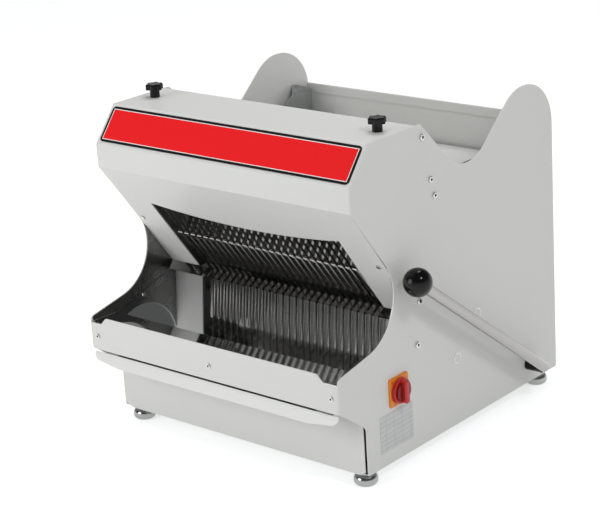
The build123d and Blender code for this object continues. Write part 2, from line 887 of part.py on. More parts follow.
# ---------------------------------------------------------------- crank drive
crank_end = pulley_x + pulley_w + 4.0
with BuildPart() as crankshaft:
    for start, end in ((-60.0, -25.0), (-5.0, 5.0), (25.0, crank_end)):
        with BuildSketch(crank_plane(start)):
            Circle(crank_r)
        extrude(amount=end - start)
    for start in (-25.0, -10.0, 5.0, 20.0):
        with BuildSketch(crank_plane(start)):
            Circle(web_r)
        extrude(amount=5.0)
    for start, side in ((-20.0, -stroke), (10.0, stroke)):
        with BuildSketch(crank_plane(start)):
            with Locations((side, 0)):
                Circle(pin_r)
        extrude(amount=10.0)
crankshaft.part.label = "crankshaft"
export_step(crankshaft.part, "parts/crankshaft.step")

bearing_t = 16.0
with BuildPart() as crank_bearings:
    for start in (-48.0, 98.0):
        with BuildSketch(side_plane(start)):
            with Locations((crank_y, (base_top + crank_z) / 2)):
                Rectangle(44.0, crank_z - base_top)
            with Locations((crank_y, crank_z)):
                Circle(22.0)
            with Locations((crank_y, base_top + 5.0)):
                Rectangle(76.0, 10.0)
            with Locations((crank_y, crank_z)):
                Circle(crank_r + running_fit, mode=Mode.SUBTRACT)
        extrude(amount=bearing_t)
crank_bearings.part.label = "crank_bearings"
export_step(crank_bearings.part, "parts/crank_bearings.step")

flange_t = (pulley_w - belt_w) / 2 - belt_play
for node, at, pitch_r, bore_r in (
    ("crank_pulley", (crank_y, crank_z), crank_pitch_r, crank_r),
    ("motor_pulley", motor_at, motor_pitch_r, motor_shaft_r),
):
    rim_r = pitch_r + belt_t / 2 + 2.0
    groove_r = pitch_r - belt_t / 2 - belt_play
    with BuildPart() as pulley:
        with BuildSketch(side_plane(pulley_x)):
            with Locations(at):
                Circle(rim_r)
        extrude(amount=flange_t)
        with BuildSketch(side_plane(pulley_x + flange_t)):
            with Locations(at):
                Circle(groove_r)
        extrude(amount=pulley_w - 2 * flange_t)
        with BuildSketch(side_plane(pulley_x + pulley_w - flange_t)):
            with Locations(at):
                Circle(rim_r)
        extrude(amount=flange_t)
        with BuildSketch(side_plane(pulley_x)):
            with Locations(at):
                Circle(bore_r + 0.02)
        extrude(amount=pulley_w, mode=Mode.SUBTRACT)
    pulley.part.label = node
    export_step(pulley.part, "parts/" + node + ".step")

with BuildPart() as drive_belt:
    with BuildSketch(side_plane(pulley_x + (pulley_w - belt_w) / 2)):
        with Locations((crank_y, crank_z)):
            Circle(crank_pitch_r + belt_t / 2)
        with Locations(motor_at):
            Circle(motor_pitch_r + belt_t / 2)
        make_hull()
    extrude(amount=belt_w)
    with BuildSketch(side_plane(pulley_x + (pulley_w - belt_w) / 2)):
        with Locations((crank_y, crank_z)):
            Circle(crank_pitch_r - belt_t / 2)
        with Locations(motor_at):
            Circle(motor_pitch_r - belt_t / 2)
        make_hull()
    extrude(amount=belt_w, mode=Mode.SUBTRACT)
drive_belt.part.label = "drive_belt"
export_step(drive_belt.part, "parts/drive_belt.step")

motor_left = -95.0
motor_right = 85.0
with BuildPart() as motor:
    with BuildSketch(side_plane(motor_left)):
        with Locations(motor_at):
            Circle(motor_r)
    extrude(amount=motor_right - motor_left)
    fillet(motor.edges().filter_by(GeomType.CIRCLE), radius=8.0)
    with BuildSketch(side_plane(motor_right)):
        with Locations(motor_at):
            Circle(24.0)
    extrude(amount=8.0)
    with BuildSketch(side_plane(motor_right + 8.0)):
        with Locations(motor_at):
            Circle(motor_shaft_r + running_fit)
    extrude(amount=-46.0, mode=Mode.SUBTRACT)
motor.part.label = "motor"
export_step(motor.part, "parts/motor.step")

with BuildPart() as motor_shaft:
    with BuildSketch(side_plane(motor_right - 36.0)):
        with Locations(motor_at):
            Circle(motor_shaft_r)
    extrude(amount=crank_end - motor_right + 36.0)
motor_shaft.part.label = "motor_shaft"
export_step(motor_shaft.part, "parts/motor_shaft.step")

with BuildPart() as motor_mount:
    with BuildSketch(side_plane(-70.0)):
        with Locations((motor_at[0], (base_top + 120.0) / 2)):
            Rectangle(110.0, 120.0 - base_top)
        with Locations(motor_at):
            Circle(motor_r, mode=Mode.SUBTRACT)
        with Locations((motor_at[0], base_top + 4.0)):
            Rectangle(150.0, 8.0)
    extrude(amount=130.0)
motor_mount.part.label = "motor_mount"
export_step(motor_mount.part, "parts/motor_mount.step")

# ---------------------------------------------------------------- pusher
lean = math.radians(comb_angle)
lean_y = math.cos(lean)
lean_z = math.sin(lean)
pusher_plane = Plane(
    origin=(-centre_x, comb_low[0] - centre_y, comb_low[1]),
    x_dir=(1, 0, 0),
    z_dir=(0, -lean_z, lean_y),
)
straight_len = comb_len - strip_w / 2
with BuildPart() as pusher_comb:
    with BuildSketch(pusher_plane):
        with Locations((0, straight_len / 2)):
            Rectangle(2 * comb_half, straight_len)
        with Locations((0, straight_len)):
            with GridLocations(pitch, 1, strip_count, 1):
                Circle(strip_w / 2)
        with Locations((0, (comb_rim + slot_w / 2 + comb_len) / 2)):
            with GridLocations(pitch, 1, strip_count - 1, 1):
                Rectangle(slot_w, comb_len - comb_rim - slot_w / 2, mode=Mode.SUBTRACT)
        with Locations((0, comb_rim + slot_w / 2)):
            with GridLocations(pitch, 1, strip_count - 1, 1):
                Circle(slot_w / 2, mode=Mode.SUBTRACT)
        with Locations((0, 27.0)):
            with GridLocations(2 * arm_x - (arm_x - comb_half), 1, 2, 1):
                Rectangle(arm_x - comb_half, 54.0)
    extrude(amount=-comb_t)
pusher_comb.part.label = "pusher_comb"
export_step(pusher_comb.part, "parts/pusher_comb.step")

arm_elbow = (300.0, 333.0)
arm_front = (
    comb_low[0] + 44.0 * lean_y + 8.0 * lean_z,
    comb_low[1] + 44.0 * lean_z - 8.0 * lean_y,
)
with BuildPart() as pusher_arms:
    for arm_start in (-arm_x - arm_t, arm_x):
        with BuildSketch(side_plane(arm_start)):
            with Locations(pivot):
                Circle(22.0)
            with Locations(arm_elbow):
                Circle(14.0)
            make_hull()
        extrude(amount=arm_t)
        with BuildSketch(side_plane(arm_start)):
            with Locations(arm_elbow):
                Circle(14.0)
            with Locations(arm_front):
                Circle(8.0)
            make_hull()
        extrude(amount=arm_t)
    with BuildSketch(side_plane(-arm_x - arm_t)):
        with Locations(pivot):
            Circle(shaft_r)
    extrude(amount=2 * (arm_x + arm_t), mode=Mode.SUBTRACT)
pusher_arms.part.label = "pusher_arms"
export_step(pusher_arms.part, "parts/pusher_arms.step")

shaft_left = -309.0
hub_start = half_width + 0.5
with BuildPart() as pusher_shaft:
    with BuildSketch(side_plane(shaft_left)):
        with Locations(pivot):
            Circle(shaft_r)
    extrude(amount=hub_start - shaft_left)
pusher_shaft.part.label = "pusher_shaft"
export_step(pusher_shaft.part, "parts/pusher_shaft.step")

with BuildPart() as shaft_bushes:
    for face_x, inward in ((half_width + 0.2, -1), (-half_width - 0.2, 1)):
        with BuildSketch(side_plane(face_x)):
            with Locations(pivot):
                Circle(bush_r)
        extrude(amount=inward * 9.0)
        with BuildSketch(side_plane(face_x + inward * (sheet + 0.2))):
            with Locations(pivot):
                Circle(20.0)
        extrude(amount=inward * 4.0)
    with BuildSketch(side_plane(-half_width - 5.0)):
        with Locations(pivot):
            Circle(shaft_r + running_fit)
    extrude(amount=2 * half_width + 10.0, mode=Mode.SUBTRACT)
shaft_bushes.part.label = "shaft_bushes"
export_step(shaft_bushes.part, "parts/shaft_bushes.step")

lever_len = math.hypot(ball_at[0] - pivot[0], ball_at[1] - pivot[1])
lever_y = (ball_at[0] - pivot[0]) / lever_len
lever_z = (ball_at[1] - pivot[1]) / lever_len
tube_tail = 4.0
tube_plane = Plane(
    origin=(
        lever_x - centre_x,
        pivot[0] - tube_tail * lever_y - centre_y,
        pivot[1] - tube_tail * lever_z,
    ),
    x_dir=(1, 0, 0),
    z_dir=(0, lever_y, lever_z),
)
tube_len = lever_len + tube_tail - 15.0
with BuildPart() as lever_tube:
    with BuildSketch(tube_plane):
        Circle(lever_r)
    extrude(amount=tube_len)
    fillet(lever_tube.edges().filter_by(GeomType.CIRCLE).sort_by(Axis.Y)[-1], radius=6.0)
lever_tube.part.label = "lever_tube"
export_step(lever_tube.part, "parts/lever_tube.step")

with BuildPart() as lever_hub:
    with BuildSketch(side_plane(hub_start)):
        with Locations(pivot):
            Circle(hub_r)
    extrude(amount=lever_x - hub_start - 4.0)
    with BuildSketch(tube_plane):
        Circle(lever_r)
    extrude(amount=60.0, both=True, mode=Mode.SUBTRACT)
lever_hub.part.label = "lever_hub"
export_step(lever_hub.part, "parts/lever_hub.step")

with BuildPart() as ball_knob:
    with Locations((lever_x - centre_x, ball_at[0] - centre_y, ball_at[1])):
        Sphere(ball_r)
    with BuildSketch(tube_plane):
        Circle(lever_r)
    extrude(amount=tube_len, mode=Mode.SUBTRACT)
ball_knob.part.label = "ball_knob"
export_step(ball_knob.part, "parts/ball_knob.step")

# ---------------------------------------------------------------- hold-down
arm_mid = (206.0, rail_z - 1.0)
arm_end = (180.0, rail_z - 1.0)
slot_top_z = 412.0
with BuildPart() as hold_down_comb:
    with BuildSketch(side_plane(-comb_half)):
        add(folded((foot_tip, elbow, knee, arm_mid, arm_end), (2.5, 4.0, 4.0), comb_t))
    extrude(amount=2 * comb_half)
    with BuildSketch(facing(160.0)):
        with Locations((0, (360.0 + slot_top_z) / 2)):
            with GridLocations(pitch, 1, strip_count - 1, 1):
                Rectangle(slot_w, slot_top_z - 360.0)
        with Locations((0, slot_top_z)):
            with GridLocations(pitch, 1, strip_count - 1, 1):
                Circle(slot_w / 2)
    extrude(amount=-70.0, mode=Mode.SUBTRACT)
hold_down_comb.part.label = "hold_down_comb"
export_step(hold_down_comb.part, "parts/hold_down_comb.step")

rail_h = 8.0
with BuildPart() as hold_down_rail:
    with BuildSketch(level(rail_z)):
        with Locations((0, rail_y)):
            RectangleRounded(2 * stud_x + 20.0, 20.0, 6.0)
    extrude(amount=rail_h)
hold_down_rail.part.label = "hold_down_rail"
export_step(hold_down_rail.part, "parts/hold_down_rail.step")

knob_low = hood_top_z + 0.4
knob_stem_h = 15.0
knob_head_h = 11.0
stud_top = knob_low + 20.0
with BuildPart() as hold_down_studs:
    with BuildSketch(level(rail_z + rail_h)):
        with Locations((-stud_x, rail_y), (stud_x, rail_y)):
            Circle(stud_r)
    extrude(amount=stud_top - rail_z - rail_h)
hold_down_studs.part.label = "hold_down_studs"
export_step(hold_down_studs.part, "parts/hold_down_studs.step")

for node, knob_x in (("left_star_knob", -stud_x), ("right_star_knob", stud_x)):
    with BuildPart() as star:
        with BuildSketch(level(knob_low)):
            with Locations((knob_x, rail_y)):
                Circle(9.5)
        extrude(amount=knob_stem_h)
        with BuildSketch(level(knob_low + knob_stem_h)):
            with Locations((knob_x, rail_y)):
                Circle(14.0)
                with PolarLocations(12.3, 6):
                    Circle(5.0)
        extrude(amount=knob_head_h)
        chamfer(star.faces().sort_by(Axis.Z)[-1].edges(), length=2.0)
        with BuildSketch(level(knob_low)):
            with Locations((knob_x, rail_y)):
                Circle(stud_r + screw_play)
        extrude(amount=21.0, mode=Mode.SUBTRACT)
    star.part.label = node
    export_step(star.part, "parts/" + node + ".step")

# ---------------------------------------------------------------- switch
plate_t = 4.0
with BuildPart() as switch_plate:
    with BuildSketch(side_plane(half_width)):
        with Locations(switch_at):
            RectangleRounded(switch_size, switch_size, 5.0)
    extrude(amount=plate_t)
    chamfer(switch_plate.faces().sort_by(Axis.X)[-1].edges(), length=1.6)
    with BuildSketch(side_plane(half_width + plate_t)):
        with Locations(switch_at):
            Circle(switch_hole_r)
        with Locations((switch_at[0] - 20.5, switch_at[1] + 20.5)):
            Circle(3.0)
    extrude(amount=-plate_t, mode=Mode.SUBTRACT)
switch_plate.part.label = "switch_plate"
export_step(switch_plate.part, "parts/switch_plate.step")

box_half = 24.0
with BuildPart() as switch_box:
    with BuildSketch(side_plane(half_width - sheet - 0.2)):
        with Locations(switch_at):
            RectangleRounded(2 * box_half, 2 * box_half, 4.0)
    extrude(amount=-44.0)
    with BuildSketch(side_plane(half_width)):
        with Locations(switch_at):
            Circle(4.3)
    extrude(amount=-20.0, mode=Mode.SUBTRACT)
switch_box.part.label = "switch_box"
export_step(switch_box.part, "parts/switch_box.step")

# knob: stem, ringed disc and a raised handle bar pointing down
switch_r = 24.5
knob_face = half_width + plate_t + 0.6
with BuildPart() as switch_knob:
    with BuildSketch(side_plane(knob_face)):
        with Locations(switch_at):
            Circle(switch_r)
    extrude(amount=7.0)
    fillet(switch_knob.edges().group_by(Axis.X)[-1], radius=2.0)
    with BuildSketch(side_plane(knob_face + 7.0)):
        with Locations(switch_at):
            SlotOverall(2 * switch_r - 3.0, 13.0, rotation=90)
    extrude(amount=12.0)
    chamfer(switch_knob.faces().sort_by(Axis.X)[-1].edges(), length=2.5)
    with BuildSketch(side_plane(knob_face)):
        with Locations(switch_at):
            Circle(4.2)
    extrude(amount=-18.0)
switch_knob.part.label = "switch_knob"
export_step(switch_knob.part, "parts/switch_knob.step")

# blank rating plate
with BuildPart() as rating_plate:
    with BuildSketch(side_plane(half_width)):
        with Locations((160.0, 93.5)):
            RectangleRounded(98.0, 73.0, 2.0)
    extrude(amount=0.8)
rating_plate.part.label = "rating_plate"
export_step(rating_plate.part, "parts/rating_plate.step")

# ---------------------------------------------------------------- crumb tray
tray_half = half_width - 60.0
tray_low = 144.0
tray_top = 170.0
tray_back = 290.0
tray_wall = 1.2
with BuildPart() as crumb_tray:
    with BuildSketch(level(tray_low)):
        with Locations((0, (6.0 + tray_back) / 2)):
            Rectangle(2 * tray_half, tray_back - 6.0)
    extrude(amount=tray_top - tray_low)
    with BuildSketch(level(tray_low + tray_wall)):
        with Locations((0, (6.0 + tray_back) / 2)):
            Rectangle(2 * (tray_half - tray_wall), tray_back - 6.0 - 2 * tray_wall)
    extrude(amount=tray_top - tray_low, mode=Mode.SUBTRACT)
crumb_tray.part.label = "crumb_tray"
export_step(crumb_tray.part, "parts/crumb_tray.step")

strip_half = half_width - 4.0
strip_len = math.hypot(strip_top[0] - strip_low_y, strip_top[1] - strip_low_z)
strip_up_y = (strip_top[0] - strip_low_y) / strip_len
strip_up_z = (strip_top[1] - strip_low_z) / strip_len
strip_plane = Plane(
    origin=(-centre_x, strip_top[0] - centre_y, strip_top[1]),
    x_dir=(1, 0, 0),
    z_dir=(0, -strip_up_z, strip_up_y),
)
with BuildPart() as tray_pull_strip:
    with BuildSketch(strip_plane):
        add(
            closed_outline(
                (
                    (-strip_half, 0),
                    (-strip_half, -9.0),
                    (-strip_half + 9.0, -17.0),
                    (-strip_half + 68.0, -strip_len),
                    (strip_half - 68.0, -strip_len),
                    (strip_half - 9.0, -17.0),
                    (strip_half, -9.0),
                    (strip_half, 0),
                ),
                (1.0, 4.0, 8.0, 24.0, 24.0, 8.0, 4.0, 1.0),
            )
        )
    extrude(amount=-thin_sheet)
    with BuildSketch(level(strip_top[1] - 6.0)):
        with Locations((0, 4.2)):
            Rectangle(2 * tray_half, 3.6)
    extrude(amount=1.5)
tray_pull_strip.part.label = "tray_pull_strip"
export_step(tray_pull_strip.part, "parts/tray_pull_strip.step")

# runners beside and under the tray, standing on the base
with BuildPart() as tray_runners:
    runner_at = tray_half + 6.0
    for runner_x, ledge_x in ((-runner_at, 8.0 - runner_at), (runner_at, runner_at - 8.0)):
        with BuildSketch(level(base_top)):
            with Locations((runner_x, (80.0 + tray_back - 2.0) / 2)):
                Rectangle(2.0, tray_back - 82.0)
        extrude(amount=172.0 - base_top)
        with BuildSketch(level(tray_low - 2.3)):
            with Locations((ledge_x, (80.0 + tray_back - 2.0) / 2)):
                Rectangle(16.0, tray_back - 82.0)
        extrude(amount=2.0)
tray_runners.part.label = "tray_runners"
export_step(tray_runners.part, "parts/tray_runners.step")
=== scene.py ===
# %% [markdown]
# The solids of the bread slicer come in as they were built, one object for each
# sheet, comb, knob and screw.

# %% Load the solids
import math

import bmesh
import bpy
from mathutils import Matrix, Vector


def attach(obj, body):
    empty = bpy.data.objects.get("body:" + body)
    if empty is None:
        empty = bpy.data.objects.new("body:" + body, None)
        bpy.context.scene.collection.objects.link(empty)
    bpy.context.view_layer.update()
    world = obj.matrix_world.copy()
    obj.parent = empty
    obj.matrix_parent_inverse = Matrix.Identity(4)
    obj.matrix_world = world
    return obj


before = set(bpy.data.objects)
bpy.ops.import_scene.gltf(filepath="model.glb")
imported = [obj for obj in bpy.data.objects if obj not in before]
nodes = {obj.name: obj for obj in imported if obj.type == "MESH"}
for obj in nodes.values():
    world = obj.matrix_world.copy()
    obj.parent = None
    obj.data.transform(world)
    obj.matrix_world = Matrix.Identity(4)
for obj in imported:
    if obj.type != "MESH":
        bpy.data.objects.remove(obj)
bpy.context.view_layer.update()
scene = bpy.context.scene
scene.view_settings.view_transform = "Standard"
print("solids:", len(nodes))

# %% [markdown]
# Lengths are easiest to read in the machine's own millimetres: x across, y from the
# front lip to the loading end, z up from the bench. One function turns such a place
# into the metres of the shared frame.

# %% Places in machine millimetres
MIDDLE_X = 31.5
MIDDLE_Y = 348.0


def at(x, y, z):
    return Vector(((x - MIDDLE_X) / 1000, (y - MIDDLE_Y) / 1000, z / 1000))


# %% [markdown]
# A material is a small graph of nodes. One function adds any node with its settings
# and its links, and one turns the hex colour a paint chart would give into the
# linear numbers that a shader works with.

# %% Colour and node helpers
def linear(hex_colour):
    parts = [int(hex_colour[i:i + 2], 16) / 255 for i in (1, 3, 5)]
    return tuple(p / 12.92 if p <= 0.04045 else ((p + 0.055) / 1.055) ** 2.4 for p in parts) + (1.0,)


def put(tree, kind, settings=None, values=None, links=None):
    made = tree.nodes.new(kind)
    for name, value in (settings or {}).items():
        setattr(made, name, value)
    for socket, value in (values or {}).items():
        made.inputs[socket].default_value = value
    for socket, source in (links or {}).items():
        tree.links.new(source, made.inputs[socket])
    return made


def new_material(name, colour, metallic, roughness, **sockets):
    made = bpy.data.materials.new(name)
    made.use_nodes = True
    shader = made.node_tree.nodes["Principled BSDF"]
    shader.inputs["Base Color"].default_value = linear(colour)
    shader.inputs["Metallic"].default_value = metallic
    shader.inputs["Roughness"].default_value = roughness
    for socket, value in sockets.items():
        shader.inputs[socket.replace("_", " ")].default_value = value
    return made, made.node_tree, shader


# %% [markdown]
# Most finishes here are one colour with a fine surface on it: the orange peel of
# powder coat, the scratches of ground steel, the faint grain of moulded plastic.
# A noise texture in Object coordinates gives all of them. Its scale is worked out
# from the size of one grain in millimetres, and it is stretched where the real
# surface was ground along one direction.

# %% Grain on a surface
def grain(tree, shader, size_mm, stretch=(1, 1, 1), bump=0.1, height_mm=0.05, rough=None, tint=None):
    where = put(tree, "ShaderNodeTexCoord").outputs["Object"]
    turned = put(tree, "ShaderNodeMapping", values={"Scale": stretch}, links={"Vector": where})
    noise = put(
        tree, "ShaderNodeTexNoise",
        values={"Scale": 1000.0 / size_mm, "Detail": 3.0, "Roughness": 0.55},
        links={"Vector": turned.outputs["Vector"]},
    )
    if bump:
        lifted = put(
            tree, "ShaderNodeBump",
            values={"Strength": bump, "Distance": height_mm / 1000},
            links={"Height": noise.outputs["Fac"]},
        )
        tree.links.new(lifted.outputs["Normal"], shader.inputs["Normal"])
    if rough:
        spread = put(
            tree, "ShaderNodeMapRange",
            values={"From Min": 0.3, "From Max": 0.7, "To Min": rough[0], "To Max": rough[1]},
            links={"Value": noise.outputs["Fac"]},
        )
        tree.links.new(spread.outputs["Result"], shader.inputs["Roughness"])
    if tint:
        blend = put(
            tree, "ShaderNodeMix", settings={"data_type": "RGBA"},
            values={"A": linear(tint[0]), "B": linear(tint[1])},
            links={"Factor": noise.outputs["Fac"]},
        )
        tree.links.new(blend.outputs["Result"], shader.inputs["Base Color"])
    return noise


# %% [markdown]
# The housing is sheet steel under a pale grey-white powder coat. Powder melts into
# a skin with a soft sheen and a very slight orange peel, about a millimetre and a
# half from crest to crest.

# %% Powder coat
powder_coat, tree, shader = new_material("powder_coat", "#E4E4E0", 0.0, 0.42)
grain(tree, shader, 1.5, bump=0.05, height_mm=0.03, tint=("#E2E2DE", "#E6E6E2"))
strip_coat, tree, shader = new_material("strip_coat", "#EAEAE6", 0.0, 0.40)
grain(tree, shader, 1.5, bump=0.05, height_mm=0.03)
floor_coat, tree, shader = new_material("floor_coat", "#DDDDDA", 0.0, 0.45)
grain(tree, shader, 1.5, bump=0.05, height_mm=0.03)
print("powder coats ready")

# %% [markdown]
# The sliced bread slides onto stainless sheet polished like a mirror. It is left
# almost without roughness, so that it shows the combs above it upside down, as the
# real one does. The combs are ground stainless.

# %% Stainless steels
mirror_steel, tree, shader = new_material("mirror_stainless", "#CBCCCD", 1.0, 0.05)
grain(tree, shader, 40.0, bump=0.02, height_mm=0.2, rough=(0.035, 0.075))
cheek_steel, tree, shader = new_material("cheek_stainless", "#8A8A89", 1.0, 0.3)
grain(tree, shader, 30.0, bump=0.0, rough=(0.24, 0.34))
comb_steel, tree, shader = new_material("ground_stainless", "#8A8987", 1.0, 0.24)
pusher_steel, tree, shader = new_material("pusher_stainless", "#AFADA9", 1.0, 0.22)
guide_steel, tree, shader = new_material("satin_stainless", "#6C6C6B", 1.0, 0.42)
grain(tree, shader, 0.8, stretch=(0.05, 1.0, 1.0), bump=0.02, height_mm=0.02, rough=(0.36, 0.48))
blade_steel, tree, shader = new_material("blade_steel", "#6E6E6C", 1.0, 0.3)
machined_steel, tree, shader = new_material("machined_steel", "#9A9A9B", 1.0, 0.32)
grain(tree, shader, 0.7, bump=0.05, height_mm=0.02, rough=(0.26, 0.4))
zinc_sheet, tree, shader = new_material("zinc_plated_sheet", "#B3B5B6", 0.9, 0.4)
grain(tree, shader, 12.0, bump=0.0, rough=(0.28, 0.48), tint=("#A6A8AA", "#BEC0C0"))
print("steels ready")

# %% [markdown]
# The lever is a stainless tube, turned and fine-ground round its length. The feet
# are chromed, the screws plain stainless with the satin of a rolled thread blank.

# %% Lever, feet and screws
lever_steel, tree, shader = new_material("turned_stainless", "#A3A2A0", 1.0, 0.1)
grain(tree, shader, 0.5, stretch=(0.15, 1.0, 1.0), bump=0.02, height_mm=0.01, rough=(0.07, 0.12))
chrome, tree, shader = new_material("bright_chrome", "#A4A4A4", 1.0, 0.1)
screw_steel, tree, shader = new_material("screw_stainless", "#D2D1CE", 1.0, 0.2)
print("lever, feet and screws ready")

# %% [markdown]
# Moulded parts are black, red and orange-yellow plastic. The ball and the star
# knobs are polished phenolic, so they are glossy; the switch is a tougher, duller
# moulding with a fine grain.

# %% Plastics, rubber and castings
black_gloss, tree, shader = new_material("black_phenolic", "#0B0B0C", 0.0, 0.14, Specular_IOR_Level=0.25)
black_dull, tree, shader = new_material("black_polyamide", "#202022", 0.0, 0.45)
grain(tree, shader, 0.9, bump=0.1, height_mm=0.03)
switch_yellow, tree, shader = new_material("yellow_moulding", "#F08A1E", 0.0, 0.38)
grain(tree, shader, 0.9, bump=0.06, height_mm=0.02)
switch_red, tree, shader = new_material("red_moulding", "#C4201F", 0.0, 0.36)
grain(tree, shader, 0.9, bump=0.06, height_mm=0.02)
bearing_plastic, tree, shader = new_material("acetal", "#D9D7CE", 0.0, 0.45)
belt_rubber, tree, shader = new_material("belt_rubber", "#1C1C1D", 0.0, 0.7)
grain(tree, shader, 1.0, bump=0.2, height_mm=0.1)
machine_enamel, tree, shader = new_material("dark_machine_enamel", "#3A3D40", 0.0, 0.5)
grain(tree, shader, 2.5, bump=0.25, height_mm=0.15)
plate_foil, tree, shader = new_material("silver_foil_plate", "#D4D5D4", 0.0, 0.5)
where = put(tree, "ShaderNodeTexCoord").outputs["Object"]
upright = put(
    tree, "ShaderNodeMapping",
    settings={"vector_type": "TEXTURE"},
    values={"Rotation": (math.pi / 2, 0, math.pi / 2), "Scale": (0.001, 0.001, 0.001)},
    links={"Vector": where},
)
rules = put(
    tree, "ShaderNodeTexBrick", settings={"offset": 0.0},
    values={
        "Color1": linear("#D8D9D8"), "Color2": linear("#D2D3D2"), "Mortar": linear("#A9AAAB"),
        "Scale": 1.0, "Mortar Size": 0.35, "Brick Width": 24.5, "Row Height": 9.1,
    },
    links={"Vector": upright.outputs["Vector"]},
)
tree.links.new(rules.outputs["Color"], shader.inputs["Base Color"])
print("plastics and castings ready")

# %% [markdown]
# The banner is red enamel with a black border and a thin pale line just inside it. Both
# run straight along the plate's edges, so the material measures how far each point is
# from the nearest edge: the position is turned into the plate's own flat coordinates,
# folded into one corner and taken from the half sizes. The smaller of the two
# distances chooses the colour.

# %% Banner enamel
BANNER_LOW = (64.2, 581.6)
BANNER_HIGH = (111.7, 638.8)
BANNER_WIDE = 609.0
BANNER_TALL = 74.4
BLACK_BAND = 4.8
PALE_LINE = 1.5
banner_red, tree, shader = new_material("red_enamel_banner", "#F0141A", 0.0, 0.45, Specular_IOR_Level=0.25)
tilt = math.atan2(BANNER_HIGH[1] - BANNER_LOW[1], BANNER_HIGH[0] - BANNER_LOW[0])
centre = at(0, (BANNER_LOW[0] + BANNER_HIGH[0]) / 2, (BANNER_LOW[1] + BANNER_HIGH[1]) / 2)
where = put(tree, "ShaderNodeTexCoord").outputs["Object"]
flat = put(
    tree, "ShaderNodeMapping",
    settings={"vector_type": "TEXTURE"},
    values={"Location": centre, "Rotation": (tilt, 0, 0), "Scale": (0.001, 0.001, 0.001)},
    links={"Vector": where},
)
folded = put(tree, "ShaderNodeVectorMath", settings={"operation": "ABSOLUTE"}, links={0: flat.outputs["Vector"]})
inward = put(
    tree, "ShaderNodeVectorMath", settings={"operation": "SUBTRACT"},
    values={0: (BANNER_WIDE / 2, BANNER_TALL / 2, 0)},
    links={1: folded.outputs["Vector"]},
)
sides = put(tree, "ShaderNodeSeparateXYZ", links={"Vector": inward.outputs["Vector"]})
nearest = put(
    tree, "ShaderNodeMath", settings={"operation": "MINIMUM"},
    links={0: sides.outputs["X"], 1: sides.outputs["Y"]},
)
share = put(
    tree, "ShaderNodeMath", settings={"operation": "DIVIDE"}, values={1: BANNER_TALL / 2},
    links={0: nearest.outputs["Value"]},
)
bands = put(tree, "ShaderNodeValToRGB", links={"Fac": share.outputs["Value"]})
bands.color_ramp.interpolation = "CONSTANT"
stops = (
    (0.0, "#161516"),
    (BLACK_BAND / (BANNER_TALL / 2), "#F2F0EE"),
    ((BLACK_BAND + PALE_LINE) / (BANNER_TALL / 2), "#F8141A"),
)
while len(bands.color_ramp.elements) < len(stops):
    bands.color_ramp.elements.new(0.5)
for element, (place, colour) in zip(bands.color_ramp.elements, stops):
    element.position = place
    element.color = linear(colour)
tree.links.new(bands.outputs["Color"], shader.inputs["Base Color"])
print("banner leans", round(math.degrees(tilt), 1), "degrees")

# %% [markdown]
# Each solid now gets the finish of the real piece. The list is kept in one place,
# so that a piece without a finish is found at once.

# %% Give each solid its finish
finishes = {
    powder_coat: "left_side_panel right_side_panel hood front_lip lower_apron back_panel "
    "blanking_plugs",
    strip_coat: "tray_pull_strip",
    banner_red: "banner_panel",
    mirror_steel: "output_tray",
    cheek_steel: "tray_cheeks",
    comb_steel: "lower_comb",
    pusher_steel: "pusher_comb hold_down_comb",
    floor_coat: "chute_floor",
    guide_steel: "side_guides",
    blade_steel: "blades_a blades_b",
    machined_steel: "frame_a_bars frame_b_bars frame_a_rods frame_b_rods yoke_a yoke_b "
    "hold_down_rail hold_down_studs crankshaft motor_shaft pusher_shaft pusher_arms",
    zinc_sheet: "base_plate floor_ribs tray_runners terminal_box panel_nuts foot_nuts crumb_tray "
    "funnel_plates",
    machine_enamel: "crank_bearings crank_pulley motor_pulley motor motor_mount",
    bearing_plastic: "guide_blocks shaft_bushes",
    lever_steel: "lever_tube",
    black_gloss: "lever_hub ball_knob left_star_knob right_star_knob",
    screw_steel: "panel_screws cover_screws",
    chrome: "feet",
    switch_yellow: "switch_plate",
    switch_red: "switch_knob",
    black_dull: "switch_box cord_gland",
    plate_foil: "rating_plate",
    belt_rubber: "drive_belt",
}
for finish, names in finishes.items():
    for name in names.split():
        nodes[name].data.materials.clear()
        nodes[name].data.materials.append(finish)
bare = [n for n in nodes if not nodes[n].data.materials]
print("solids without a finish:", bare)

# %% [markdown]
# A finished piece of the scene is a bmesh turned into an object that stands at the
# origin, with its place in its mesh, and rides on the body of the machine that
# carries it.

# %% Make a piece from a bmesh
def finish_piece(name, shape, material, body, smooth=True):
    bmesh.ops.recalc_face_normals(shape, faces=shape.faces)
    mesh = bpy.data.meshes.new(name)
    shape.to_mesh(mesh)
    shape.free()
    mesh.materials.append(material)
    for face in mesh.polygons:
        face.use_smooth = smooth
    piece = bpy.data.objects.new(name, mesh)
    scene.collection.objects.link(piece)
    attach(piece, body)
    return piece
